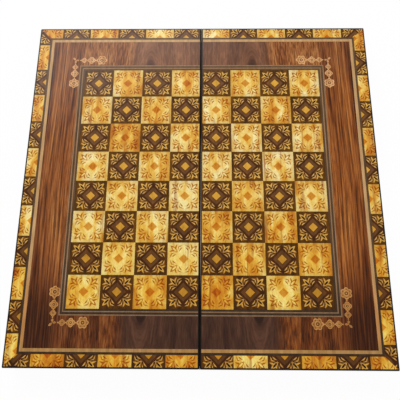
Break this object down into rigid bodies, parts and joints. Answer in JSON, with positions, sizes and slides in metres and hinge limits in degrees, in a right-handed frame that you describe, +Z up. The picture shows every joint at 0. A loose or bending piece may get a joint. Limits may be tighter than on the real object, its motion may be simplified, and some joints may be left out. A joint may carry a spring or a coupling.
{
  "type": "folding chess board",
  "caption": "Folding chess board lying open: two shallow hinged trays, rim down, with an inlaid lacquered chess face, ornamented squares, rosewood field and tiled border.",
  "frame": {"origin": "on the table under the middle of the seam, at the foot of the hinge barrels, with the board open and rim down", "axes": "+X to the right across the seam, +Y to the back along the seam, +Z up out of the chess face"},
  "size_m": [0.5034, 0.494, 0.0371],
  "materials": {
    "black_lacquered_board": "black lacquer over fibreboard, glossy",
    "dark_square_veneer": "dark brown with golden ornament, clear gloss lacquer",
    "light_square_veneer": "yellow burl with brown ornament, clear gloss lacquer",
    "black_line_veneer": "black stringing under clear gloss lacquer",
    "tan_line_veneer": "tan stringing under clear gloss lacquer",
    "rosewood_field": "rosewood with corner ornament, clear gloss lacquer",
    "black_lacquered_rail": "black stained hardwood, satin lacquer",
    "beech_spline": "plain beech",
    "walnut_inner_board": "walnut veneer, satin lacquer",
    "dark_point_veneer": "dark veneer, satin lacquer",
    "light_point_veneer": "pale veneer, satin lacquer",
    "brass": "polished brass"
  },
  "bodies": {
    "left_half": {"front_hinge_pin": "brass", "hook_pivots": "brass", "left_black_lines": "black_line_veneer", "left_corner_splines": "beech_spline", "left_dark_border_tiles": "dark_square_veneer", "left_dark_points": "dark_point_veneer", "left_dark_squares": "dark_square_veneer", "left_end_rail": "black_lacquered_rail", "left_field": "rosewood_field", "left_front_hinge_leaf": "brass", "left_front_rail": "black_lacquered_rail", "left_hinge_nails": "brass", "left_hinge_rail": "black_lacquered_rail", "left_inner_board": "walnut_inner_board", "left_light_border_tiles": "light_square_veneer", "left_light_points": "light_point_veneer", "left_light_squares": "light_square_veneer", "left_panel": "black_lacquered_board", "left_rear_hinge_leaf": "brass", "left_rear_rail": "black_lacquered_rail", "left_tan_lines": "tan_line_veneer", "rear_hinge_pin": "brass"},
    "right_half": {"right_black_lines": "black_line_veneer", "right_corner_splines": "beech_spline", "right_dark_border_tiles": "dark_square_veneer", "right_dark_points": "dark_point_veneer", "right_dark_squares": "dark_square_veneer", "right_end_rail": "black_lacquered_rail", "right_field": "rosewood_field", "right_front_hinge_leaf": "brass", "right_front_rail": "black_lacquered_rail", "right_hinge_nails": "brass", "right_hinge_rail": "black_lacquered_rail", "right_inner_board": "walnut_inner_board", "right_light_border_tiles": "light_square_veneer", "right_light_points": "light_point_veneer", "right_light_squares": "light_square_veneer", "right_panel": "black_lacquered_board", "right_rear_hinge_leaf": "brass", "right_rear_rail": "black_lacquered_rail", "right_tan_lines": "tan_line_veneer", "catch_studs": "brass"},
    "front_hook": {"front_hook": "brass"},
    "rear_hook": {"rear_hook": "brass"}
  },
  "joints": [
    {"name": "fold", "type": "hinge", "parent": "left_half", "child": "right_half", "pos_m": [0, 0, 0.002], "axis": [0, 1, 0], "range_deg": [0, 180]},
    {"name": "front_hook_pivot", "type": "hinge", "parent": "left_half", "child": "front_hook", "pos_m": [-0.2485, -0.12, 0.01415], "axis": [-1, 0, 0], "range_deg": [-90, 90]},
    {"name": "rear_hook_pivot", "type": "hinge", "parent": "left_half", "child": "rear_hook", "pos_m": [-0.2485, 0.12, 0.01415], "axis": [-1, 0, 0], "range_deg": [-90, 90]}
  ]
}
